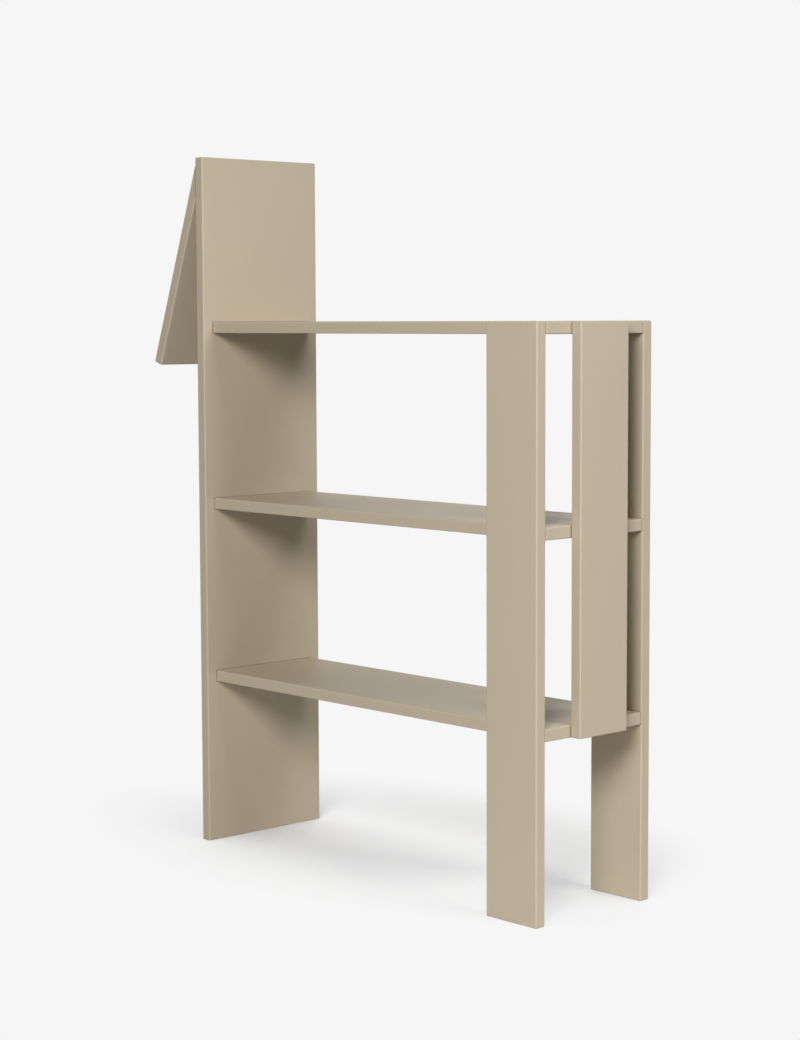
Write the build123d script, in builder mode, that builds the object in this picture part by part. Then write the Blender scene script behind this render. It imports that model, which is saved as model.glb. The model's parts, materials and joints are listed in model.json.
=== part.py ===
"""Horse-shaped bookshelf for a child's room, in millimetres.

One upright panel is the neck and both front legs. A bevelled board hangs from its
outer face as the head. Three shelves make the back and the body, two narrow boards
are the hind legs and one more is the tail. Cam discs, bolts and dowels hold the
boards together, all out of sight.

+X runs from the head to the tail, +Z is up, and the origin is on the floor in the
middle of the whole outline. The horse faces -X, so its left side is -Y.
"""

import os
from math import cos, radians, sin

from build123d import *

# Boards
board = 18
edge_round = 2
neck_height = 1100
neck_width = 236
shelf_length = 734
shelf_depth = 200
shelf_tops = {"top_shelf": 840, "middle_shelf": 558, "bottom_shelf": 278}
hind_leg_width = 98
tail_width = 98

# Head, measured down its sloping outer face
head_length = 333
head_slope = 20
head_drop = 11
head_blunt = 3
head_spare = 30

# Joint patterns, as distances from the middle of each joint
neck_cam_offset = 64
dowel_offset = 32
head_dowel_offsets = (-96, -32, 32, 96)
head_dowel_rise = 8

# Cam disc, its pocket and its eccentric hollow
cam_reach = 34
cam_pocket_diameter = 15
cam_pocket_depth = 13.5
cam_diameter = 14.8
cam_height = 12.8
hollow_radius = 5.3
hollow_offset = 0.9
hollow_height = 7.2
slot_height = 4.7
slot_start = 50
mouth_turn = 120
recess_length = 7.2
recess_width = 1.7
recess_depth = 2.6

# Cam bolt, from the thread's tip to the head, as radii and lengths
pilot_diameter = 5
pilot_depth = 11.5
bolt_bore_diameter = 8
thread_radius = 2.45
thread_length = 11
collar_radius = 3.75
collar_length = 2
shank_radius = 3.1
shank_end = 8.2
bolt_neck_radius = 2.1
bolt_head_radius = 3.3
bolt_head_under = 3.8
bolt_head_tip = 1.2

# Dowels
dowel_diameter = 7.8
dowel_bore_diameter = 8
dowel_length = 40
dowel_in_panel = 12
dowel_play = 1
head_dowel_length = 25
head_dowel_in_neck = 13
head_dowel_play = 0.5

# Cover cap
cap_diameter = 17
cap_thickness = 1
cap_spigot_diameter = 14.6
cap_spigot_height = 0.6

# Places worked out from the sizes above
slope = radians(head_slope)
head_top = neck_height - head_drop
head_root = head_top - board / sin(slope)
head_reach = head_length * sin(slope) - edge_round * (sin(slope) + cos(slope) - 1)
neck_x = (head_reach - (shelf_length + 2 * board)) / 2
shelf_start = neck_x + board
shelf_end = shelf_start + shelf_length
hind_leg_x = shelf_end - hind_leg_width / 2
tail_foot = shelf_tops["bottom_shelf"] - board
tail_height = shelf_tops["top_shelf"] - tail_foot
shelf_edge = shelf_depth / 2
half_board = board / 2
shelf_middles = [top - half_board for top in shelf_tops.values()]
dowel_pair = (-dowel_offset, dowel_offset)
neck_cam_pair = (-neck_cam_offset, neck_cam_offset)
toward_neck = (-1, 0, 0)
toward_tail = (1, 0, 0)
up = (0, 0, 1)


def joint(x, y, z, toward):
    """A point on a shelf's edge, with Z pointing at the board it meets and X up."""
    return Plane(origin=(x, y, z), x_dir=up, z_dir=toward).location


def cam_joints(z):
    """Where one shelf's cam bolts cross into the other boards."""
    at_neck = [joint(shelf_start, y, z, toward_neck) for y in neck_cam_pair]
    at_legs = [joint(hind_leg_x, side * shelf_edge, z, (0, side, 0)) for side in (-1, 1)]
    return at_neck + at_legs + [joint(shelf_end, 0, z, toward_tail)]


def dowel_joints(z):
    """Where one shelf's dowels cross into the other boards."""
    at_neck = [joint(shelf_start, y, z, toward_neck) for y in dowel_pair]
    at_tail = [joint(shelf_end, y, z, toward_tail) for y in dowel_pair]
    at_legs = [
        joint(hind_leg_x + x, side * shelf_edge, z, (0, side, 0))
        for x in dowel_pair
        for side in (-1, 1)
    ]
    return at_neck + at_tail + at_legs


def drill_face(face, inward, points, diameter, depth):
    """Blind bores in a board's broad face; inward is 1 along the face's normal or -1."""
    with BuildSketch(face) as bores:
        with Locations(*points):
            Circle(diameter / 2)
    extrude(bores.sketch, amount=inward * depth, mode=Mode.SUBTRACT)


def keep(name, piece):
    """Label one piece and write it out under its own name."""
    piece.part.label = name
    export_step(piece.part, f"parts/{name}.step")


# Neck and front legs: one board from the floor up, bored for the shelves on its inner
# face and for the head's dowels on its outer face
neck_inner_face = Plane.YZ.offset(shelf_start)
neck_outer_face = Plane.YZ.offset(neck_x)
head_dowel_points = [(y, head_root + head_dowel_rise) for y in head_dowel_offsets]

with BuildPart() as neck_panel:
    with BuildSketch(neck_outer_face):
        with Locations((0, neck_height / 2)):
            Rectangle(neck_width, neck_height)
    extrude(amount=board)
    fillet(neck_panel.edges(), edge_round)
    bolt_points = [(y, z) for y in neck_cam_pair for z in shelf_middles]
    dowel_points = [(y, z) for y in dowel_pair for z in shelf_middles]
    drill_face(neck_inner_face, -1, bolt_points, pilot_diameter, pilot_depth)
    drill_face(neck_inner_face, -1, dowel_points, dowel_bore_diameter, dowel_in_panel)
    drill_face(neck_outer_face, 1, head_dowel_points, dowel_bore_diameter, head_dowel_in_neck)

# Head: a rounded board laid on the slope, then sawn upright where it meets the neck
# and blunted at its thin top edge
head_face = Plane(
    origin=(neck_x, 0, head_top),
    x_dir=(0, 1, 0),
    z_dir=(-cos(slope), 0, sin(slope)),
)

with BuildPart() as head_board:
    with BuildSketch(head_face):
        with Locations((0, (head_length - head_spare) / 2)):
            Rectangle(neck_width, head_length + head_spare)
    extrude(amount=-board)
    fillet(head_board.edges(), edge_round)
    split(bisect_by=neck_outer_face, keep=Keep.BOTTOM)
    split(bisect_by=Plane.XY.offset(head_top - head_blunt), keep=Keep.BOTTOM)
    head_bore_depth = head_dowel_length - head_dowel_in_neck + head_dowel_play
    drill_face(neck_outer_face, -1, head_dowel_points, dowel_bore_diameter, head_bore_depth)


def make_shelf(top):
    """A shelf with cam pockets underneath and bores in its edges, at half thickness."""
    middle = top - half_board
    underside = top - board
    with BuildPart() as shelf:
        with BuildSketch(Plane.XY.offset(underside)):
            with Locations(((shelf_start + shelf_end) / 2, 0)):
                Rectangle(shelf_length, shelf_depth)
        extrude(amount=board)
        fillet(shelf.edges(), edge_round)
        with BuildSketch(Plane.XY.offset(underside)):
            with Locations(
                *[(shelf_start + cam_reach, y) for y in neck_cam_pair],
                *[(hind_leg_x, side * (shelf_edge - cam_reach)) for side in (-1, 1)],
                (shelf_end - cam_reach, 0),
            ):
                Circle(cam_pocket_diameter / 2)
        extrude(amount=cam_pocket_depth, mode=Mode.SUBTRACT)
        with Locations(*cam_joints(middle)):
            Hole(bolt_bore_diameter / 2, cam_reach)
        with Locations(*dowel_joints(middle)):
            Hole(dowel_bore_diameter / 2, dowel_length - dowel_in_panel + dowel_play)
    return shelf


def make_hind_leg(side):
    """A narrow board on the shelves' long edges; side is -1 for left and 1 for right."""
    inner_face = Plane.XZ.offset(-side * shelf_edge)
    with BuildPart() as leg:
        with BuildSketch(inner_face):
            with Locations((hind_leg_x, shelf_tops["top_shelf"] / 2)):
                Rectangle(hind_leg_width, shelf_tops["top_shelf"])
        extrude(amount=-side * board)
        fillet(leg.edges(), edge_round)
        leg_bolt_points = [(hind_leg_x, z) for z in shelf_middles]
        leg_dowel_points = [(hind_leg_x + x, z) for x in dowel_pair for z in shelf_middles]
        drill_face(inner_face, -side, leg_bolt_points, pilot_diameter, pilot_depth)
        drill_face(inner_face, -side, leg_dowel_points, dowel_bore_diameter, dowel_in_panel)
    return leg


# Tail: a narrow board on the shelves' ends, from the top shelf to the bottom one
tail_inner_face = Plane.YZ.offset(shelf_end)

with BuildPart() as tail_board:
    with BuildSketch(tail_inner_face):
        with Locations((0, tail_foot + tail_height / 2)):
            Rectangle(tail_width, tail_height)
    extrude(amount=board)
    fillet(tail_board.edges(), edge_round)
    tail_bolt_points = [(0, z) for z in shelf_middles]
    tail_dowel_points = [(y, z) for y in dowel_pair for z in shelf_middles]
    drill_face(tail_inner_face, 1, tail_bolt_points, pilot_diameter, pilot_depth)
    drill_face(tail_inner_face, 1, tail_dowel_points, dowel_bore_diameter, dowel_in_panel)

# Cam disc, in the joint's frame: the bolt comes in along Z and the disc turns about X.
# Its hollow is off centre, so a turn from the mouth to the locked place draws the
# bolt's head inward.
cam_plane = Plane(origin=(0, 0, -cam_reach), x_dir=(0, 1, 0), z_dir=(1, 0, 0))
cam_floor = cam_pocket_depth - half_board - cam_height
mouth_angle = radians(90 - mouth_turn)
mouth = Plane(origin=cam_plane.origin, z_dir=(0, cos(mouth_angle), sin(mouth_angle)))

with BuildPart() as cam_disc:
    with BuildSketch(cam_plane.offset(cam_floor)):
        Circle(cam_diameter / 2)
    extrude(amount=cam_height)
    with BuildSketch(cam_plane):
        with Locations((0, -hollow_offset)):
            Circle(hollow_radius)
    extrude(amount=hollow_height / 2, both=True, mode=Mode.SUBTRACT)
    with BuildSketch(cam_plane):
        with BuildLine():
            lips = CenterArc((0, 0), cam_diameter, 90 - mouth_turn, mouth_turn + slot_start)
            Line((0, 0), lips @ 0)
            Line((0, 0), lips @ 1)
        make_face()
    extrude(amount=slot_height / 2, both=True, mode=Mode.SUBTRACT)
    with BuildSketch(mouth):
        Circle(hollow_height / 2)
    extrude(amount=cam_diameter, mode=Mode.SUBTRACT)
    with BuildSketch(cam_plane.offset(cam_floor)):
        Rectangle(recess_length, recess_width)
        Rectangle(recess_width, recess_length)
    extrude(amount=recess_depth, mode=Mode.SUBTRACT)

# Cam bolt, turned about Z: thread in the upright board, collar on its face, and a
# waisted neck that leads to the head inside the cam
with BuildPart() as cam_bolt:
    with BuildSketch(Plane.XZ):
        with BuildLine():
            Polyline(
                (0, thread_length),
                (thread_radius, thread_length),
                (thread_radius, 0),
                (collar_radius, 0),
                (collar_radius, -collar_length),
                (shank_radius, -collar_length),
                (shank_radius, shank_end - cam_reach),
                (bolt_neck_radius, shank_end - cam_reach),
                (bolt_neck_radius, bolt_head_under - cam_reach),
                (bolt_head_radius, bolt_head_under - cam_reach),
                (bolt_head_radius, bolt_head_tip - cam_reach),
                (0, bolt_head_tip - cam_reach),
                close=True,
            )
        make_face()
    revolve(axis=Axis.Z)

# Cover cap: a thin round lid, and a spigot that centres it in the pocket
cap_plane = cam_plane.offset(-half_board)

with BuildPart() as cover_cap:
    with BuildSketch(cap_plane):
        Circle(cap_diameter / 2)
    extrude(amount=-cap_thickness)
    with BuildSketch(cap_plane):
        Circle(cap_spigot_diameter / 2)
    extrude(amount=cap_spigot_height)


def make_dowel(length, far_end):
    """A dowel along Z, whose far end stands at far_end."""
    with BuildPart() as dowel:
        with BuildSketch(Plane.XY.offset(far_end - length)):
            Circle(dowel_diameter / 2)
        extrude(amount=length)
    return dowel


def make_group(template, places):
    """Copies of one fitting, one at each place."""
    with BuildPart() as group:
        with Locations(*places):
            add(template.part)
    return group


os.makedirs("parts", exist_ok=True)
keep("neck_panel", neck_panel)
keep("head_board", head_board)
keep("left_hind_leg", make_hind_leg(-1))
keep("right_hind_leg", make_hind_leg(1))
keep("tail_board", tail_board)

shelf_dowel = make_dowel(dowel_length, dowel_in_panel)
for shelf_name, shelf_top in shelf_tops.items():
    shelf_middle = shelf_top - half_board
    keep(shelf_name, make_shelf(shelf_top))
    keep(f"{shelf_name}_cam_discs", make_group(cam_disc, cam_joints(shelf_middle)))
    keep(f"{shelf_name}_cam_bolts", make_group(cam_bolt, cam_joints(shelf_middle)))
    keep(f"{shelf_name}_cover_caps", make_group(cover_cap, cam_joints(shelf_middle)))
    keep(f"{shelf_name}_dowels", make_group(shelf_dowel, dowel_joints(shelf_middle)))

head_dowel = make_dowel(head_dowel_length, head_dowel_in_neck)
head_dowel_joints = [joint(neck_x, y, z, toward_tail) for y, z in head_dowel_points]
keep("head_dowels", make_group(head_dowel, head_dowel_joints))
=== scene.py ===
"""Finish, hidden hardware and studio for a horse-shaped bookshelf of lacquered boards.

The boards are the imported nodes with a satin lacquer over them. Cover caps, cam bolts
and dowels are made again here with their rounded rims, threads and flutes.
"""

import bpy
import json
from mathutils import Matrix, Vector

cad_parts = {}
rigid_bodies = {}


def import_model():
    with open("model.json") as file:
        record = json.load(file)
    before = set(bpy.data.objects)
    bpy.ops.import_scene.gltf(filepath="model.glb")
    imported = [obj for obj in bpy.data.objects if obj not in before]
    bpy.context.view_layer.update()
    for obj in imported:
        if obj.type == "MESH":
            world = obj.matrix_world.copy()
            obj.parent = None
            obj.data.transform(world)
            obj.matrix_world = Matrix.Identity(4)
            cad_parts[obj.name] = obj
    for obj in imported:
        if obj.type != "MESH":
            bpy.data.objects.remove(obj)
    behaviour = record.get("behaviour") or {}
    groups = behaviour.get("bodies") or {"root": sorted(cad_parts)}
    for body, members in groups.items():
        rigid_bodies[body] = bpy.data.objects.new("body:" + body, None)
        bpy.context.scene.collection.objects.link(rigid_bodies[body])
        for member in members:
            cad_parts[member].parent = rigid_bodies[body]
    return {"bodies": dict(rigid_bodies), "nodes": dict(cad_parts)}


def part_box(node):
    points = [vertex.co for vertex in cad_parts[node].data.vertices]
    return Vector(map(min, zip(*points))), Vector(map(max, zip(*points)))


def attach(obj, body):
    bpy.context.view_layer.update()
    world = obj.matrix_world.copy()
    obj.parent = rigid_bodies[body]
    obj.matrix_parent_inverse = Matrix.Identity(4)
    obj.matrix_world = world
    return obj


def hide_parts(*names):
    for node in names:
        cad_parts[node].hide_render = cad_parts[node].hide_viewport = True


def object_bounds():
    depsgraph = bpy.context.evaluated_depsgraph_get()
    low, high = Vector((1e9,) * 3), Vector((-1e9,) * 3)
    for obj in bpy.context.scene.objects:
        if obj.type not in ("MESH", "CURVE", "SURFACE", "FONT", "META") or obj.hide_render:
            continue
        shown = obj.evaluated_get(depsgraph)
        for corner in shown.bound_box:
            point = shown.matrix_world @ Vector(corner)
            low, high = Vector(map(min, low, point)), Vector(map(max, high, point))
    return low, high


bl_info = {
    "name": "Horse bookshelf finish",
    "version": (1, 0, 0),
    "blender": (4, 5, 0),
    "location": "View3D > Sidebar > Bookshelf",
    "description": "Lacquer, joint fittings and a plain studio for a horse-shaped bookshelf",
    "category": "Object",
}

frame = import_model()
cad_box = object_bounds()

import json
import math

import bmesh
import bpy
from bpy.props import (
    FloatProperty,
    FloatVectorProperty,
    IntProperty,
    PointerProperty,
)
from bpy.types import Operator, Panel, PropertyGroup
from mathutils import Matrix, Vector

MM = 0.001
(BODY,) = frame["bodies"]
SHELVES = ("top_shelf", "middle_shelf", "bottom_shelf")
UPRIGHTS = ("neck_panel", "left_hind_leg", "right_hind_leg", "tail_board")
BOARDS = ("head_board", *SHELVES, *UPRIGHTS)
HEAD_SLOPE = math.radians(20)

# Lacquer: its mirror strength, bands measured in from a board's faces, the painted
# shade along each joint's crease, and the nibs of dust
LACQUER_SPECULAR = 0.17
ARRIS_BAND = (0.6 * MM, 2.6 * MM)
SAWN_SKIN = (0.2 * MM, 0.8 * MM)
SAWN_INSET = (2 * MM, 4 * MM)
CREASE_SHADE_CORE = 0.4
CREASE_SHADE_STRENGTH = 0.42
CREASE_SHADE_TONE = 0.2
NIB_SPACING = 45 * MM
NIB_SIZE = 0.007

# Cover cap, in millimetres
CAP_RADIUS = 8.5
CAP_HEIGHT = 1.6
SPIGOT_RADIUS = 7.3
SPIGOT_LENGTH = 0.6
SPIGOT_CHAMFER = 0.2
CAP_SEGMENTS = 48

# Cam bolt, in millimetres, measured from the face of the joint
THREAD_START = 0.6
THREAD_LENGTH = 9.2
THREAD_STEPS = 24
BOLT_SEGMENTS = 32
COLLAR_RADIUS = 3.75
SHANK_RADIUS = 3.1
NECK_RADIUS = 2.1
HEAD_RADIUS = 3.3

DOWEL_RADIUS = 3.9 * MM
SHARP_ANGLE = math.radians(35)

# Studio
FLOOR_REACH = 14.0
FLOOR_DROP = 0.02 * MM
# Samples of the ambient occlusion that paints shadow on the floor
PAINTED_SHADOW_SAMPLES = 16
LAMP_AIM = Vector((0.0, 0.0, 0.55))
# Each lamp's name, place, width and watts
LAMPS = (
    ("key softbox", Vector((2.65, -4.6, 3.37)), 2.0, 152.0),
    ("side softbox", Vector((3.88, 0.34, 2.8)), 1.8, 84.0),
    ("near softbox", Vector((1.79, -2.13, 1.67)), 0.8, 34.5),
    ("back softbox", Vector((-1.74, 2.48, 2.3)), 1.6, 10.2),
)


# Colours

BLACK = (0.0, 0.0, 0.0)
WHITE = (1.0, 1.0, 1.0)


def linear(red, green, blue):
    """A colour written in the 0 to 255 of a paint chart, as linear light."""
    return tuple(
        c / 12.92 if c <= 0.04045 else ((c + 0.055) / 1.055) ** 2.4
        for c in (red / 255, green / 255, blue / 255)
    )


def toned(colour, share):
    """The same colour, lighter or darker."""
    return tuple(c * share for c in colour)


# Node trees written as expressions


class Value:
    """What one socket carries, for use in plain arithmetic."""

    def __init__(self, tree, socket):
        self.tree = tree
        self.socket = socket

    def __add__(self, other):
        return self.tree.math("ADD", self, other)

    def __sub__(self, other):
        return self.tree.math("SUBTRACT", self, other)

    def __rsub__(self, other):
        return self.tree.math("SUBTRACT", other, self)

    def __mul__(self, other):
        return self.tree.math("MULTIPLY", self, other)

    def __truediv__(self, other):
        return self.tree.math("DIVIDE", self, other)

    def __pow__(self, power):
        return self.tree.math("POWER", self, power)

    def __abs__(self):
        return self.tree.math("ABSOLUTE", self)

    __radd__ = __add__
    __rmul__ = __mul__


class Tree:
    """A node tree whose nodes come from one method and whose sums are expressions."""

    def __init__(self, nodes):
        self.nodes = nodes.nodes
        self.links = nodes.links

    def node(self, kind, settings=None, inputs=None, out=0):
        """Add a node: first its settings, then the values or links of its sockets."""
        node = self.nodes.new(kind)
        for name, setting in (settings or {}).items():
            setattr(node, name, setting)
        for key, given in (inputs or {}).items():
            for one in given if isinstance(given, list) else [given]:
                self.feed(self.socket(node.inputs, key), one)
        return Value(self, self.socket(node.outputs, out)) if node.outputs else node

    @staticmethod
    def socket(sockets, key):
        """A socket by its place, its identifier or its name."""
        if isinstance(key, int):
            return [s for s in sockets if s.enabled][key]
        for s in sockets:
            if s.identifier == key:
                return s
        return next(s for s in sockets if s.name == key and s.enabled)

    def feed(self, socket, given):
        """Link a value to a socket, or set the socket to a plain number or colour."""
        if isinstance(given, Value):
            self.links.new(given.socket, socket)
        elif socket.type == "RGBA":
            socket.default_value = (*given, 1.0)
        else:
            socket.default_value = given

    def also(self, value, out):
        """Another output of the node that a value comes from."""
        return Value(self, self.socket(value.socket.node.outputs, out))

    def math(self, operation, *terms):
        return self.node("ShaderNodeMath", {"operation": operation}, dict(enumerate(terms)))

    def lower(self, a, b):
        return self.math("MINIMUM", a, b)

    def higher(self, a, b):
        return self.math("MAXIMUM", a, b)

    def step(self, value, start, end):
        """0 below start, 1 above end, and a smooth rise between them."""
        return self.node(
            "ShaderNodeMapRange",
            {"interpolation_type": "SMOOTHSTEP"},
            {"Value": value, "From Min": start, "From Max": end},
        )

    def colour_mix(self, factor, a, b):
        return self.node(
            "ShaderNodeMix",
            {"data_type": "RGBA"},
            {"Factor_Float": factor, "A_Color": a, "B_Color": b},
            "Result_Color",
        )

    def noise(self, vector, size, detail=2.0, roughness=0.5, distortion=0.0):
        """Cloudy variation from 0 to 1 whose lumps are about size metres across."""
        return self.node(
            "ShaderNodeTexNoise",
            None,
            {
                "Vector": vector,
                "Scale": 1 / size,
                "Detail": detail,
                "Roughness": roughness,
                "Distortion": distortion,
            },
        )

    def bump(self, height, depth, under=None):
        """Relief of a 0 to 1 height whose full depth is in metres."""
        inputs = {"Strength": 1.0, "Distance": depth, "Height": height}
        if under is not None:
            inputs["Normal"] = under
        return self.node("ShaderNodeBump", None, inputs)

    def vector(self, operation, *terms, out=0):
        settings = {"operation": operation}
        return self.node("ShaderNodeVectorMath", settings, dict(enumerate(terms)), out)

    def length(self, vector):
        return self.vector("LENGTH", vector, out="Value")

    def stretched(self, vector, scale):
        return self.vector("MULTIPLY", vector, scale)

    def here(self):
        """The place on the piece, in metres from the piece's own origin."""
        return self.node("ShaderNodeTexCoord", None, None, "Object")

    def on_fitting(self):
        """The place on one fitting, in metres from its middle and along its own axis."""
        return self.node("ShaderNodeAttribute", {"attribute_name": "fitting"}, None, "Vector")


def new_material(name):
    """An empty material and its tree."""
    material = bpy.data.materials.new(name)
    material.use_nodes = True
    material.node_tree.nodes.clear()
    return material, Tree(material.node_tree)


def surface(tree, shader):
    """Let a shader be what the material shows."""
    tree.node("ShaderNodeOutputMaterial", None, {"Surface": shader})


def cloudy(tree, mask, colour, dark, pale):
    """One colour that drifts between a darker and a paler tone of itself."""
    return tree.colour_mix(mask, toned(colour, dark), toned(colour, pale))


def principled(tree, sockets):
    """Close a material with one Principled shader."""
    surface(tree, tree.node("ShaderNodeBsdfPrincipled", None, sockets))


def box_of(points):
    """The lowest and the highest corner of the box round some points."""
    return [Vector([pick(p[i] for p in points) for i in range(3)]) for pick in (min, max)]


# Finishes


def own_box(name):
    """A board's slope, and its box once the board is turned upright."""
    slope = HEAD_SLOPE if name == "head_board" else 0.0
    turn = Matrix.Rotation(slope, 3, "Y")
    return slope, *box_of([turn @ v.co for v in frame["nodes"][name].data.vertices])


def joined_to(name):
    """The upright or level boards that one board is joined to."""
    if name == "head_board":
        return ("neck_panel",)
    return UPRIGHTS if name in SHELVES else SHELVES


def shade_by_board(tree, here, name, width):
    """Painted crease shade: 1 where the named board's box is closer than the shade's width, and 0
    away from it.
    """
    low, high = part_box(name)
    off = tree.vector("ABSOLUTE", tree.vector("SUBTRACT", here, (low + high) / 2))
    off = tree.vector("MAXIMUM", tree.vector("SUBTRACT", off, (high - low) / 2), (0, 0, 0))
    return 1 - tree.step(tree.length(off), width * CREASE_SHADE_CORE, width)


def edge_masks(tree, here, name):
    """Two masks: 1 on a board's rounded arrises, and 1 on the sawn edges between them."""
    slope, low, high = own_box(name)
    level = tree.node(
        "ShaderNodeMapping",
        {"vector_type": "POINT"},
        {"Vector": here, "Rotation": (0.0, slope, 0.0)},
    )
    parts = tree.node("ShaderNodeSeparateXYZ", None, {"Vector": level})
    depths = []
    for axis in range(3):
        middle = (low[axis] + high[axis]) / 2
        half = (high[axis] - low[axis]) / 2
        depths.append(half - abs(tree.also(parts, axis) - middle))
    thin = min(range(3), key=lambda i: high[i] - low[i])
    long_sides = tree.lower(*[depths[i] for i in range(3) if i != thin])
    closest = tree.lower(tree.lower(depths[0], depths[1]), depths[2])
    furthest = tree.higher(tree.higher(depths[0], depths[1]), depths[2])
    second = depths[0] + depths[1] + depths[2] - closest - furthest
    arris = 1 - tree.step(second, *ARRIS_BAND)
    sawn = (1 - tree.step(long_sides, *SAWN_SKIN)) * tree.step(depths[thin], *SAWN_INSET)
    return arris, sawn


def lacquer(name, look):
    """Satin lacquer on one board.

    The rounded arrises are a little lighter, partly from thinner paint and partly as a
    painted highlight, and the sawn edges between them are a little rougher than the
    pressed faces. A line of painted shade runs round every joint, in its crease.
    """
    material, tree = new_material(f"lacquer on {name}")
    here = tree.here()
    arris, sawn = edge_masks(tree, here, name)

    clouds = tree.noise(here, 0.23, 3.0)
    haze = tree.noise(here, 0.06, 2.0)
    peel = tree.noise(here, 2.4 * MM, 2.0, 0.45)
    mist = tree.noise(here, 0.42 * MM, 1.0)
    fibre = tree.noise(here, 0.8 * MM, 3.0, 0.65)
    specks = tree.node(
        "ShaderNodeTexVoronoi",
        None,
        {"Vector": here, "Scale": 1 / NIB_SPACING, "Randomness": 1.0},
    )
    nib = 1 - tree.step(specks, 0.0, NIB_SIZE)

    colour = cloudy(tree, clouds, look.lacquer, 0.965, 1.03)
    colour = tree.colour_mix(sawn * 0.35, colour, toned(look.lacquer, 0.93))
    # Painted highlight on the arrises, along with their thinner paint: a little lighter there
    colour = tree.colour_mix(arris * 0.15, colour, toned(look.lacquer, 1.1))
    crease_shading = 0.0
    for other in joined_to(name):
        crease_shading = tree.higher(crease_shading, shade_by_board(tree, here, other, look.crease_shade_width))
    # Painted shade: a dark line in the crease where this board meets another
    colour = tree.colour_mix(crease_shading * CREASE_SHADE_STRENGTH, colour, toned(look.lacquer, CREASE_SHADE_TONE))
    gloss = look.lacquer_roughness + (haze - 0.5) * 0.08 + sawn * 0.06 - arris * 0.04
    relief = tree.bump(peel, look.peel_depth)
    relief = tree.bump(mist, look.peel_depth * 0.12, relief)
    relief = tree.bump(fibre * sawn, look.peel_depth * 0.8, relief)
    relief = tree.bump(nib, 0.05 * MM, relief)
    sockets = {"Base Color": colour, "Roughness": gloss, "Normal": relief}
    principled(tree, {**sockets, "Specular IOR Level": LACQUER_SPECULAR})
    return material


def cap_plastic(look):
    """Moulded plastic in the lacquer's colour, with a finely blasted face."""
    material, tree = new_material("cap plastic")
    here = tree.here()
    flow = tree.noise(here, 6 * MM, 2.0)
    blast = tree.noise(here, 0.25 * MM, 2.0, 0.6)
    principled(
        tree,
        {
            "Base Color": cloudy(tree, flow, look.lacquer, 0.9, 0.99),
            "Roughness": 0.52 + (blast - 0.5) * 0.12,
            "Normal": tree.bump(blast, 0.015 * MM),
        },
    )
    return material


def cast_zinc(look):
    """Die-cast zinc: a dull grey skin with flow marks and fine pits."""
    material, tree = new_material("cast zinc")
    here = tree.here()
    flow = tree.noise(here, 4 * MM, 3.0, 0.6, 0.8)
    pits = tree.noise(here, 0.35 * MM, 3.0, 0.7)
    principled(
        tree,
        {
            "Base Color": cloudy(tree, flow, look.zinc, 0.78, 1.08),
            "Metallic": 1.0,
            "Roughness": 0.46 + (pits - 0.5) * 0.3,
            "Normal": tree.bump(pits, 0.03 * MM),
        },
    )
    return material


def plated_steel(look):
    """Bright zinc plating, with fine turning marks round the bolt."""
    material, tree = new_material("plated steel")
    own = tree.on_fitting()
    rings = tree.noise(tree.stretched(own, (1.0, 1.0, 30.0)), 3 * MM, 2.0)
    bloom = tree.noise(own, 3.5 * MM, 3.0)
    principled(
        tree,
        {
            "Base Color": cloudy(tree, bloom, look.plating, 0.86, 1.04),
            "Metallic": 1.0,
            "Roughness": 0.26 + (rings - 0.5) * 0.2,
            "Normal": tree.bump(rings, 0.012 * MM),
        },
    )
    return material


def raw_beech(look):
    """Unfinished beech, with short darker rays along each dowel's own length."""
    material, tree = new_material("raw beech")
    own = tree.on_fitting()
    grain = tree.noise(tree.stretched(own, (1.0, 1.0, 0.05)), 0.7 * MM, 4.0, 0.6, 0.4)
    flecks = tree.noise(tree.stretched(own, (1.0, 1.0, 0.22)), 0.5 * MM, 1.0)
    ray = tree.step(flecks, 0.62, 0.72)
    colour = cloudy(tree, grain, look.beech, 0.82, 1.1)
    principled(
        tree,
        {
            "Base Color": tree.colour_mix(ray * 0.5, colour, toned(look.beech, 0.6)),
            "Roughness": 0.7 + (grain - 0.5) * 0.15,
            "Normal": tree.bump(grain, 0.04 * MM),
        },
    )
    return material


def seen_rays(tree):
    """Two masks: rays from the camera, and all rays that show the background itself."""
    camera = tree.node("ShaderNodeLightPath", None, None, "Is Camera Ray")
    glossy = tree.also(camera, "Is Glossy Ray")
    through = tree.also(camera, "Is Transmission Ray")
    return camera, tree.higher(tree.higher(camera, glossy), through)


def open_light(tree, here, origin):
    """How bright the lamps alone make a white floor where nothing shades it."""
    total = 0.0
    for _, place, _, watts in LAMPS:
        lamp = place - origin
        facing = (place - LAMP_AIM).normalized()
        ray = tree.vector("SUBTRACT", lamp, here)
        distance = tree.length(ray)
        ahead = tree.vector("DOT_PRODUCT", ray, facing, out="Value")
        total = total + ahead * (watts * lamp.z / math.pi**2) / distance**4
    return total


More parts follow.
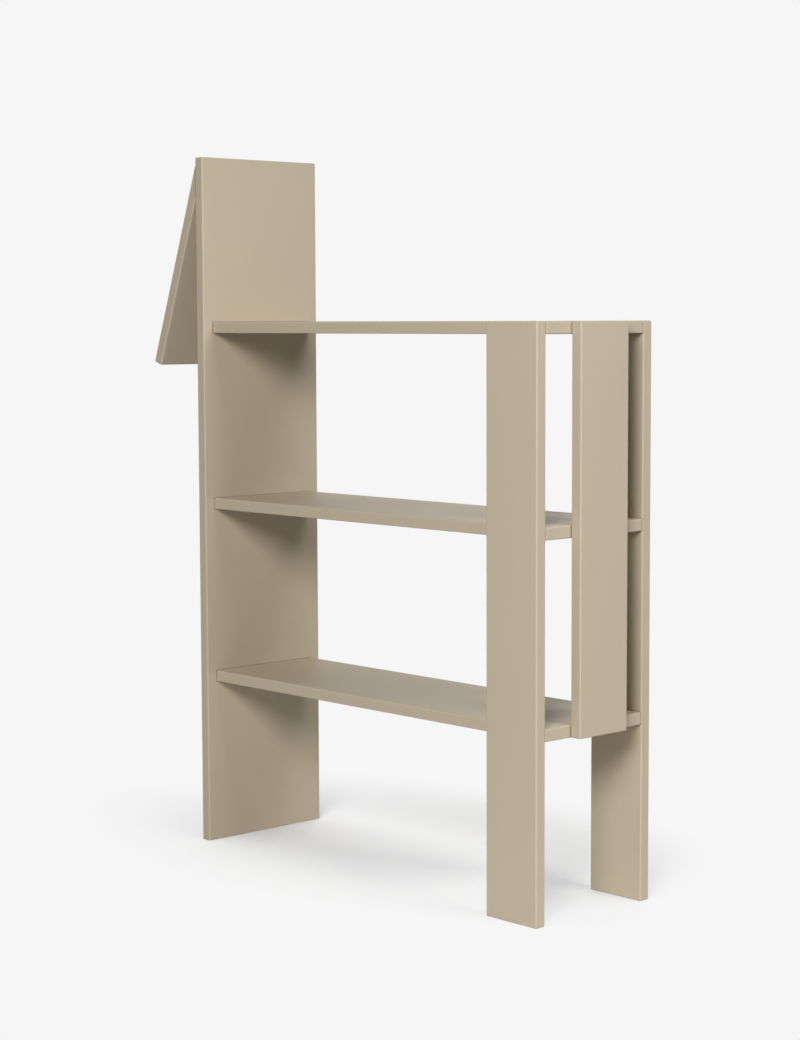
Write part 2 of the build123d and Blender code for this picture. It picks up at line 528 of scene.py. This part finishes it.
def floor_paint(studio, origin):
    """Pale floor that shows the background's tone, less the light that the object shades, with
    painted shadow and a painted cool light beside the object.
    """
    material, tree = new_material("studio floor")
    camera, seen = seen_rays(tree)
    here = tree.here()

    # What is seen: the background's tone less the lamps' share, which the lamps give back
    away = tree.vector("SUBTRACT", here, studio.shade_centre)
    away = tree.length(tree.stretched(away, (1 / studio.shade_stretch, 1.0, 1.0)))
    near = 1 - tree.step(away, studio.shade_start, studio.shade_end)
    share = near * studio.shade_share
    lamps = share * open_light(tree, here, origin)
    # Painted shadow: ambient occlusion darkens the seen floor near the object, most right beside
    # it
    ao_shade = 1 - tree.node(
        "ShaderNodeAmbientOcclusion",
        {"samples": PAINTED_SHADOW_SAMPLES},
        {"Distance": studio.painted_shadow_reach},
        "AO",
    )
    near_shade = ao_shade * near
    # The lamps' share, which they give back, plus the painted shadow
    lost = lamps + near_shade * (1 + ao_shade**2 * studio.contact) * studio.painted_shadow_share
    rest = tree.colour_mix(lost / studio.background[1], studio.background, BLACK)
    # Painted cool light added in the painted shadow, against the warm light off the boards
    rest = tree.vector("ADD", rest, tree.colour_mix(near_shade, BLACK, studio.painted_cool_light))
    glow = tree.node("ShaderNodeEmission", None, {"Color": rest, "Strength": 1.0})
    lit = tree.node("ShaderNodeBsdfDiffuse", None, {"Color": tree.colour_mix(share, BLACK, WHITE)})
    shown = tree.node("ShaderNodeAddShader", None, {0: glow, 1: lit})

    # What lights the object: a white sheet that gives way to the room's floor
    far = tree.step(tree.length(here), studio.sheet_start, studio.sheet_end)
    sheet = tree.colour_mix(far, studio.floor, studio.floor_beyond)
    carried = tree.node("ShaderNodeBsdfDiffuse", None, {"Color": sheet})

    both = tree.node("ShaderNodeMixShader", None, {0: seen, 1: carried, 2: shown})
    clear = tree.node("ShaderNodeBsdfTransparent")
    under = tree.node("ShaderNodeNewGeometry", None, None, "Backfacing")
    surface(tree, tree.node("ShaderNodeMixShader", None, {0: under * camera, 1: both, 2: clear}))
    return material


# Fittings in the joints


def solids_of(node):
    """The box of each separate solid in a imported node, as its lowest and highest corner."""
    work = bmesh.new()
    work.from_mesh(frame["nodes"][node].data)
    bmesh.ops.remove_doubles(work, verts=work.verts, dist=0.001 * MM)
    left = set(work.verts)
    boxes = []
    while left:
        front = [left.pop()]
        found = []
        while front:
            vert = front.pop()
            found.append(vert.co.copy())
            for edge in vert.link_edges:
                other = edge.other_vert(vert)
                if other in left:
                    left.remove(other)
                    front.append(other)
        boxes.append(box_of(found))
    work.free()
    return sorted(boxes, key=lambda box: tuple(round(v, 5) for v in box[0]))


def aims(node, board, upright=False):
    """A point and a direction for each solid of a node.

    The point is the solid's middle and the direction runs along it, away from the
    board's middle. An upright fitting has its point on top and its direction down.
    """
    low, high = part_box(board)
    middle = (low + high) / 2
    places = []
    for start, end in solids_of(node):
        size = end - start
        centre = (start + end) / 2
        if upright:
            places.append((Vector((centre.x, centre.y, end.z)), Vector((0, 0, -1))))
            continue
        axis = max(range(3), key=lambda i: size[i])
        aim = Vector((0, 0, 0))
        aim[axis] = math.copysign(1, centre[axis] - middle[axis])
        places.append((centre, aim))
    return places


def turned(name, profile, segments):
    """A closed solid turned about Z from (radius, height) points in millimetres."""
    work = bmesh.new()
    line = [work.verts.new((r * MM, 0.0, z * MM)) for r, z in profile]
    edges = [work.edges.new(pair) for pair in zip(line, line[1:])]
    bmesh.ops.spin(
        work,
        geom=line + edges,
        cent=(0, 0, 0),
        axis=(0, 0, 1),
        angle=2 * math.pi,
        steps=segments,
        use_merge=True,
    )
    bmesh.ops.remove_doubles(work, verts=work.verts, dist=0.0005 * MM)
    bmesh.ops.recalc_face_normals(work, faces=work.faces)
    mesh = bpy.data.meshes.new(name)
    work.to_mesh(mesh)
    work.free()
    return bpy.data.objects.new(name, mesh)


def geometry_tree(name, inputs):
    """A Geometry Nodes tree with named inputs; returns it, its Tree and its inputs."""
    group = bpy.data.node_groups.new(name, "GeometryNodeTree")
    inputs = {"Geometry": "Geometry", **inputs, "Material": "Material", "Seed": "Int"}
    for label, kind in inputs.items():
        group.interface.new_socket(label, in_out="INPUT", socket_type=f"NodeSocket{kind}")
    group.interface.new_socket("Geometry", in_out="OUTPUT", socket_type="NodeSocketGeometry")
    tree = Tree(group)
    start = tree.node("NodeGroupInput")
    given = {label: tree.also(start, label) for label in inputs}
    return group, tree, given


def set_out(tree, given, shape):
    """Put one fitting at every point, facing its aim and turned by chance about it."""
    position = tree.node("GeometryNodeInputPosition")
    kept = tree.node(
        "GeometryNodeStoreNamedAttribute",
        {"data_type": "FLOAT_VECTOR", "domain": "POINT"},
        {"Geometry": shape, "Name": "fitting", "Value": position},
    )
    aim = tree.node(
        "GeometryNodeInputNamedAttribute", {"data_type": "FLOAT_VECTOR"}, {"Name": "aim"}
    )
    facing = tree.node("FunctionNodeAlignRotationToVector", {"axis": "Z"}, {"Vector": aim})
    chance = tree.node(
        "FunctionNodeRandomValue",
        {"data_type": "FLOAT"},
        {"Max_001": 2 * math.pi, "Seed": given["Seed"]},
        "Value_001",
    )
    roll = tree.node("ShaderNodeCombineXYZ", None, {"Z": chance})
    roll = tree.node("FunctionNodeEulerToRotation", None, {0: roll})
    turned_round = tree.node(
        "FunctionNodeRotateRotation",
        {"rotation_space": "LOCAL"},
        {"Rotation": facing, "Rotate By": roll},
    )
    placed = tree.node(
        "GeometryNodeInstanceOnPoints",
        None,
        {"Points": given["Geometry"], "Instance": kept, "Rotation": turned_round},
    )
    real = tree.node("GeometryNodeRealizeInstances", None, {"Geometry": placed})
    done = tree.node(
        "GeometryNodeSetMaterial", None, {"Geometry": real, "Material": given["Material"]}
    )
    tree.node("NodeGroupOutput", None, {0: done})


def blank_of(tree, given):
    """The turned blank that an object input carries."""
    return tree.node("GeometryNodeObjectInfo", None, {"Object": given["Blank"]}, "Geometry")


def plain_tree():
    """Fittings that are their turned blank and nothing more."""
    group, tree, given = geometry_tree("turned fittings", {"Blank": "Object"})
    set_out(tree, given, blank_of(tree, given))
    return group


def threaded_tree():
    """Bolts: the turned blank with a thin thread wound round its far end."""
    group, tree, given = geometry_tree(
        "threaded bolts",
        {
            "Blank": "Object",
            "Core Radius": "Float",
            "Thread Depth": "Float",
            "Pitch": "Float",
            "Thread Start": "Float",
            "Thread Length": "Float",
            "Steps": "Int",
        },
    )
    turns = given["Thread Length"] / given["Pitch"]
    helix = tree.node(
        "GeometryNodeCurveSpiral",
        None,
        {
            "Resolution": given["Steps"],
            "Rotations": turns,
            "Start Radius": given["Core Radius"],
            "End Radius": given["Core Radius"],
            "Height": given["Thread Length"],
        },
    )
    helix = tree.node("GeometryNodeSetCurveNormal", {"mode": "Z_UP"}, {"Curve": helix})
    flank = tree.node(
        "GeometryNodeCurvePrimitiveCircle",
        None,
        {"Resolution": 3, "Radius": given["Thread Depth"]},
    )
    flank = tree.node("GeometryNodeTransform", None, {"Geometry": flank, "Scale": (1.0, 0.5, 1.0)})
    along = tree.node("GeometryNodeSplineParameter", None, None, "Factor")
    swell = tree.step(tree.lower(along, 1 - along) * turns, 0.0, 0.75)
    ridge = tree.node(
        "GeometryNodeCurveToMesh",
        None,
        {"Curve": helix, "Profile Curve": flank, "Scale": 0.15 + swell * 0.85, "Fill Caps": True},
    )
    lift = tree.node("ShaderNodeCombineXYZ", None, {"Z": given["Thread Start"]})
    ridge = tree.node("GeometryNodeTransform", None, {"Geometry": ridge, "Translation": lift})
    whole = tree.node("GeometryNodeJoinGeometry", None, {0: [blank_of(tree, given), ridge]})
    set_out(tree, given, whole)
    return group


def fluted_tree():
    """Dowels: a bar with flutes in its side and a chamfer at each end."""
    group, tree, given = geometry_tree(
        "fluted dowels",
        {
            "Length": "Float",
            "Radius": "Float",
            "Flute Depth": "Float",
            "Flutes": "Int",
            "Chamfer": "Float",
        },
    )
    half = given["Length"] * 0.5
    bottom = tree.node("ShaderNodeCombineXYZ", None, {"Z": 0 - half})
    top = tree.node("ShaderNodeCombineXYZ", None, {"Z": half})
    line = tree.node("GeometryNodeCurvePrimitiveLine", None, {"Start": bottom, "End": top})
    line = tree.node("GeometryNodeResampleCurve", None, {"Curve": line, "Count": 4})
    index = tree.node("GeometryNodeSplineParameter", None, None, "Index")
    inner = tree.lower(index, 3 - index)
    position = tree.node("GeometryNodeInputPosition")
    height = tree.also(tree.node("ShaderNodeSeparateXYZ", None, {"Vector": position}), "Z")
    height = tree.math("SIGN", height) * (half - inner * given["Chamfer"])
    moved = tree.node("ShaderNodeCombineXYZ", None, {"Z": height})
    line = tree.node("GeometryNodeSetPosition", None, {"Geometry": line, "Position": moved})
    taper = 1 - (1 - inner) * given["Chamfer"] / given["Radius"]
    section = tree.node(
        "GeometryNodeCurveStar",
        None,
        {
            "Points": given["Flutes"],
            "Inner Radius": given["Radius"] - given["Flute Depth"],
            "Outer Radius": given["Radius"],
        },
    )
    bar = tree.node(
        "GeometryNodeCurveToMesh",
        None,
        {"Curve": line, "Profile Curve": section, "Scale": taper, "Fill Caps": True},
    )
    set_out(tree, given, bar)
    return group


def make_fittings(name, node, places, group, values):
    """Run a tree on the joints' points, keep the plain mesh, and let it stand for its node."""
    mesh = bpy.data.meshes.new(name)
    mesh.from_pydata([place for place, _ in places], [], [])
    aim = mesh.attributes.new("aim", "FLOAT_VECTOR", "POINT")
    for i, (_, direction) in enumerate(places):
        aim.data[i].vector = direction
    piece = bpy.data.objects.new(name, mesh)
    bpy.context.scene.collection.objects.link(piece)
    modifier = piece.modifiers.new("fittings", "NODES")
    modifier.node_group = group
    for item in group.interface.items_tree:
        if item.in_out == "INPUT" and item.name in values:
            modifier[item.identifier] = values[item.name]
    view = bpy.context.evaluated_depsgraph_get()
    made = bpy.data.meshes.new_from_object(
        piece.evaluated_get(view), preserve_all_data_layers=True, depsgraph=view
    )
    piece.modifiers.clear()
    piece.data = made
    made.name = name
    made.materials.pop(index=0)
    made.shade_smooth()
    made.set_sharp_from_angle(angle=SHARP_ANGLE)
    if not made.polygons:
        raise RuntimeError(f"{name} came out empty")
    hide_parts(node)
    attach(piece, BODY)
    return piece


# What a user may change


class BoardLook(PropertyGroup):
    """Colour and surface of the lacquer and the fittings."""

    lacquer: FloatVectorProperty(
        name="Lacquer",
        description="Colour of the lacquer on every board",
        subtype="COLOR",
        min=0.0,
        max=1.0,
        default=linear(192, 179, 157),
    )
    lacquer_roughness: FloatProperty(
        name="Lacquer roughness",
        description="0 is a mirror and 1 is chalk",
        subtype="FACTOR",
        min=0.0,
        max=1.0,
        default=0.5,
    )
    peel_depth: FloatProperty(
        name="Orange peel",
        description="Depth of the sprayed lacquer's fine ripple",
        unit="LENGTH",
        default=0.012 * MM,
    )
    # Width of the painted shade along each joint's crease
    crease_shade_width: FloatProperty(
        name="Seam width",
        description="How far the dark groove of a joint reaches over each board",
        unit="LENGTH",
        default=1.1 * MM,
    )
    zinc: FloatVectorProperty(
        name="Cast zinc",
        description="Colour of the cam discs",
        subtype="COLOR",
        default=linear(168, 168, 171),
    )
    plating: FloatVectorProperty(
        name="Plating",
        description="Colour of the plated cam bolts",
        subtype="COLOR",
        default=linear(200, 202, 206),
    )
    beech: FloatVectorProperty(
        name="Beech",
        description="Colour of the raw dowels",
        subtype="COLOR",
        default=linear(206, 172, 126),
    )


class FittingSizes(PropertyGroup):
    """Sizes of the hidden fittings."""

    cap_rim: FloatProperty(
        name="Cap rim",
        description="Radius of the rounded rim of a cover cap",
        unit="LENGTH",
        default=0.7 * MM,
    )
    thread_pitch: FloatProperty(
        name="Thread pitch",
        description="Distance between two turns of a bolt's thread",
        unit="LENGTH",
        default=1.8 * MM,
    )
    thread_depth: FloatProperty(
        name="Thread depth",
        description="Height of the thread above the bolt's core",
        unit="LENGTH",
        default=0.8 * MM,
    )
    thread_core: FloatProperty(
        name="Thread core",
        description="Radius of the bolt under its thread",
        unit="LENGTH",
        default=2.2 * MM,
    )
    flutes: IntProperty(
        name="Flutes",
        description="Number of glue flutes round a dowel",
        min=6,
        default=16,
    )
    flute_depth: FloatProperty(
        name="Flute depth",
        description="Depth of a dowel's flutes",
        unit="LENGTH",
        default=0.35 * MM,
    )
    dowel_chamfer: FloatProperty(
        name="Dowel chamfer",
        description="Size of the chamfer at a dowel's ends",
        unit="LENGTH",
        default=0.9 * MM,
    )


class Studio(PropertyGroup):
    """Floor, light and camera."""

    floor: FloatVectorProperty(
        name="Floor",
        description="Colour of the white sheet under the object, as it lights the object",
        subtype="COLOR",
        default=(0.9, 0.9, 0.9),
    )
    floor_beyond: FloatVectorProperty(
        name="Floor beyond",
        description="Colour of the room's floor past the sheet, as it lights the object",
        subtype="COLOR",
        default=(0.25, 0.25, 0.25),
    )
    sheet_start: FloatProperty(
        name="Sheet ends",
        description="Distance from the object where the white sheet starts to give way",
        unit="LENGTH",
        default=0.6,
    )
    sheet_end: FloatProperty(
        name="Room begins",
        description="Distance from the object where only the room's floor is left",
        unit="LENGTH",
        default=1.8,
    )
    background: FloatVectorProperty(
        name="Background",
        description="Colour of the floor and backdrop as they are seen",
        subtype="COLOR",
        default=linear(246, 246, 246),
    )
    shade_share: FloatProperty(
        name="Shadow share",
        description="How much of the lamps' light the object takes from the floor as it is seen",
        subtype="FACTOR",
        default=0.85,
    )
    # Strength of the painted shadow on the floor beside the object
    painted_shadow_share: FloatProperty(
        name="Room share",
        description="How much of the room's light the object takes from the floor beside it",
        subtype="FACTOR",
        default=0.19,
    )
    # Extra painted shadow right beside the object
    contact: FloatProperty(
        name="Contact shadow",
        description="How much darker the floor gets right beside the object",
        default=6.0,
    )
    # Painted cool light in the floor's painted shadow
    painted_cool_light: FloatVectorProperty(
        name="Cooling",
        description="Light that makes up for the warm tint of the light off the boards",
        subtype="COLOR",
        default=(0.03, 0.05, 0.095),
    )
    # Reach of the ambient occlusion that paints shadow on the floor
    painted_shadow_reach: FloatProperty(
        name="Room reach",
        description="How far off the object still hides the room from the floor",
        unit="LENGTH",
        default=0.45,
    )
    shade_centre: FloatVectorProperty(
        name="Shadow centre",
        description="Middle of the patch of floor that shows shadows",
        subtype="XYZ",
        unit="LENGTH",
        default=(-0.1, 0.1, 0.0),
    )
    shade_stretch: FloatProperty(
        name="Shadow stretch",
        description="Length of that patch along X over its width",
        default=1.6,
    )
    shade_start: FloatProperty(
        name="Shadow fade starts",
        description="Distance across the patch where shadows start to fade",
        unit="LENGTH",
        default=0.1,
    )
    shade_end: FloatProperty(
        name="Shadow fade ends",
        description="Distance across the patch where shadows have gone",
        unit="LENGTH",
        default=0.45,
    )
    sky: FloatProperty(
        name="Room light",
        description="Strength of the even light from all round",
        default=0.0,
    )
    camera_place: FloatVectorProperty(
        name="Camera",
        description="Place of the camera",
        subtype="XYZ",
        unit="LENGTH",
        default=(2.5364, -2.32, 0.8434),
    )
    camera_heading: FloatProperty(
        name="Heading",
        description="Turn of the camera about the vertical",
        subtype="ANGLE",
        default=math.radians(47.3145),
    )
    camera_pitch: FloatProperty(
        name="Pitch",
        description="Tilt of the camera above the horizontal",
        subtype="ANGLE",
        default=math.radians(-5.1196),
    )
    camera_roll: FloatProperty(
        name="Roll",
        description="Turn of the camera about its own view",
        subtype="ANGLE",
        default=math.radians(-0.2214),
    )
    lens: FloatProperty(
        name="Lens",
        description="Focal length in millimetres on a 36 mm sensor",
        default=77.656,
    )


# Operators


class BOOKSHELF_OT_lacquer(Operator):
    """Lacquer every board."""

    bl_idname = "bookshelf.lacquer"
    bl_label = "Lacquer the boards"

    def execute(self, context):
        look = context.scene.board_look
        for name in BOARDS:
            board = frame["nodes"][name]
            board.data.materials.clear()
            board.data.materials.append(lacquer(name, look))
        return {"FINISHED"}


class BOOKSHELF_OT_cover_caps(Operator):
    """Make the cover caps under the shelves, with their rounded rims."""

    bl_idname = "bookshelf.cover_caps"
    bl_label = "Make the cover caps"

    def execute(self, context):
        sizes = context.scene.fitting_sizes
        rim = sizes.cap_rim / MM
        turns = [math.radians(angle) for angle in range(90, -1, -15)]
        # Radius, then height above the foot of the spigot
        profile = [
            (0, 0),
            (SPIGOT_RADIUS - SPIGOT_CHAMFER, 0),
            (SPIGOT_RADIUS, SPIGOT_CHAMFER),
            (SPIGOT_RADIUS, SPIGOT_LENGTH),
            (CAP_RADIUS, SPIGOT_LENGTH),
            *(
                (CAP_RADIUS - rim + rim * math.sin(t), CAP_HEIGHT - rim + rim * math.cos(t))
                for t in turns
            ),
            (0, CAP_HEIGHT),
        ]
        blank = turned("cap blank", profile, CAP_SEGMENTS)
        material = cap_plastic(context.scene.board_look)
        group = plain_tree()
        for seed, shelf in enumerate(SHELVES):
            node = f"{shelf}_cover_caps"
            make_fittings(
                f"{shelf}_moulded_caps",
                node,
                aims(node, shelf, upright=True),
                group,
                {"Blank": blank, "Material": material, "Seed": seed},
            )
        bpy.data.objects.remove(blank)
        return {"FINISHED"}


class BOOKSHELF_OT_cam_discs(Operator):
    """Give the cam discs their cast skin."""

    bl_idname = "bookshelf.cam_discs"
    bl_label = "Finish the cam discs"

    def execute(self, context):
        material = cast_zinc(context.scene.board_look)
        for shelf in SHELVES:
            discs = frame["nodes"][f"{shelf}_cam_discs"]
            discs.data.materials.clear()
            discs.data.materials.append(material)
        return {"FINISHED"}


class BOOKSHELF_OT_cam_bolts(Operator):
    """Make the cam bolts with their threads."""

    bl_idname = "bookshelf.cam_bolts"
    bl_label = "Make the cam bolts"

    def execute(self, context):
        sizes = context.scene.fitting_sizes
        core = sizes.thread_core / MM
        # Radius, then distance into the mating board: tip, core, collar, shank, neck, head
        profile = [
            (0, 11),
            (core * 0.6, 11),
            (core, 9.6),
            (core, 0),
            (COLLAR_RADIUS, 0),
            (COLLAR_RADIUS, -1.7),
            (COLLAR_RADIUS - 0.3, -2),
            (SHANK_RADIUS, -2),
            (SHANK_RADIUS, -25.3),
            (SHANK_RADIUS - 0.4, -25.8),
            (NECK_RADIUS, -26.3),
            (NECK_RADIUS, -29.6),
            (HEAD_RADIUS, -30.2),
            (HEAD_RADIUS, -32.1),
            (HEAD_RADIUS - 0.7, -32.8),
            (0, -32.8),
        ]
        middle = (profile[0][1] + profile[-1][1]) / 2
        blank = turned("bolt blank", [(r, z - middle) for r, z in profile], BOLT_SEGMENTS)
        values = {
            "Blank": blank,
            "Material": plated_steel(context.scene.board_look),
            "Core Radius": sizes.thread_core,
            "Thread Depth": sizes.thread_depth,
            "Pitch": sizes.thread_pitch,
            "Thread Start": (THREAD_START - middle) * MM,
            "Thread Length": THREAD_LENGTH * MM,
            "Steps": THREAD_STEPS,
        }
        group = threaded_tree()
        for seed, shelf in enumerate(SHELVES):
            node = f"{shelf}_cam_bolts"
            values["Seed"] = seed
            places = aims(node, shelf)
            make_fittings(f"{shelf}_threaded_bolts", node, places, group, values)
        bpy.data.objects.remove(blank)
        return {"FINISHED"}


class BOOKSHELF_OT_dowels(Operator):
    """Make the fluted dowels."""

    bl_idname = "bookshelf.dowels"
    bl_label = "Make the dowels"

    def execute(self, context):
        sizes = context.scene.fitting_sizes
        values = {
            "Material": raw_beech(context.scene.board_look),
            "Radius": DOWEL_RADIUS,
            "Flute Depth": sizes.flute_depth,
            "Flutes": sizes.flutes,
            "Chamfer": sizes.dowel_chamfer,
        }
        group = fluted_tree()
        sets = [(f"{shelf}_dowels", f"{shelf}_fluted_dowels", shelf) for shelf in SHELVES]
        sets.append(("head_dowels", "head_fluted_dowels", "neck_panel"))
        for seed, (node, name, board) in enumerate(sets):
            values["Seed"] = seed
            start, end = solids_of(node)[0]
            values["Length"] = max(end - start)
            make_fittings(name, node, aims(node, board), group, values)
        return {"FINISHED"}


class BOOKSHELF_OT_stage(Operator):
    """Build the floor, the lamps, the background and the camera."""

    bl_idname = "bookshelf.stage"
    bl_label = "Build the studio"

    def execute(self, context):
        studio = context.scene.studio
        collection = context.scene.collection

        low, high = cad_box
        middle = (low + high) / 2
        mesh = bpy.data.meshes.new("floor")
        signs = ((-1, -1), (1, -1), (1, 1), (-1, 1))
        corners = [(x * FLOOR_REACH, y * FLOOR_REACH, 0) for x, y in signs]
        mesh.from_pydata(corners, [], [(0, 1, 2, 3)])
        floor = bpy.data.objects.new("floor", mesh)
        collection.objects.link(floor)
        floor.location = (middle.x, middle.y, low.z - FLOOR_DROP)
        mesh.materials.append(floor_paint(studio, floor.location))

        for name, place, width, watts in LAMPS:
            light = bpy.data.lights.new(name, "AREA")
            light.shape = "SQUARE"
            light.size = width
            light.energy = watts
            lamp = bpy.data.objects.new(name, light)
            collection.objects.link(lamp)
            lamp.visible_camera = False
            lamp.location = place
            lamp.rotation_euler = (place - LAMP_AIM).to_track_quat("Z", "Y").to_euler()

        world = bpy.data.worlds.new("studio")
        world.use_nodes = True
        world.node_tree.nodes.clear()
        tree = Tree(world.node_tree)
        _, seen = seen_rays(tree)
        room = tree.node("ShaderNodeBackground", None, {"Color": WHITE, "Strength": studio.sky})
        drop = tree.node(
            "ShaderNodeBackground", None, {"Color": studio.background, "Strength": 1.0}
        )
        both = tree.node("ShaderNodeMixShader", None, {0: seen, 1: room, 2: drop})
        tree.node("ShaderNodeOutputWorld", None, {"Surface": both})
        context.scene.world = world

        camera = bpy.data.objects.new("camera", bpy.data.cameras.new("camera"))
        collection.objects.link(camera)
        camera.data.lens = studio.lens
        camera.matrix_world = (
            Matrix.Translation(studio.camera_place)
            @ Matrix.Rotation(studio.camera_heading, 4, "Z")
            @ Matrix.Rotation(math.pi / 2 + studio.camera_pitch, 4, "X")
            @ Matrix.Rotation(studio.camera_roll, 4, "Z")
        )
        context.scene.camera = camera
        context.scene.view_settings.view_transform = "Standard"
        return {"FINISHED"}


class BOOKSHELF_PT_main(Panel):
    """The steps of the bookshelf's finish."""

    bl_idname = "BOOKSHELF_PT_main"
    bl_label = "Bookshelf"
    bl_space_type = "VIEW_3D"
    bl_region_type = "UI"
    bl_category = "Bookshelf"

    def draw(self, context):
        for group in (context.scene.board_look, context.scene.fitting_sizes, context.scene.studio):
            box = self.layout.box()
            for name in group.__annotations__:
                box.prop(group, name)
        for step in STEPS:
            self.layout.operator(step.bl_idname)


SETTINGS = {"board_look": BoardLook, "fitting_sizes": FittingSizes, "studio": Studio}
STEPS = (
    BOOKSHELF_OT_lacquer,
    BOOKSHELF_OT_cover_caps,
    BOOKSHELF_OT_cam_discs,
    BOOKSHELF_OT_cam_bolts,
    BOOKSHELF_OT_dowels,
    BOOKSHELF_OT_stage,
)


def register():
    for kind in (*SETTINGS.values(), *STEPS, BOOKSHELF_PT_main):
        bpy.utils.register_class(kind)
    for name, kind in SETTINGS.items():
        setattr(bpy.types.Scene, name, PointerProperty(type=kind))


def unregister():
    for name in SETTINGS:
        delattr(bpy.types.Scene, name)
    for kind in (BOOKSHELF_PT_main, *reversed(STEPS), *reversed(SETTINGS.values())):
        bpy.utils.unregister_class(kind)


def main():
    register()
    bpy.ops.bookshelf.lacquer()
    bpy.ops.bookshelf.cover_caps()
    bpy.ops.bookshelf.cam_discs()
    bpy.ops.bookshelf.cam_bolts()
    bpy.ops.bookshelf.dowels()
    bpy.ops.bookshelf.stage()


if __name__ == "__main__":
    main()
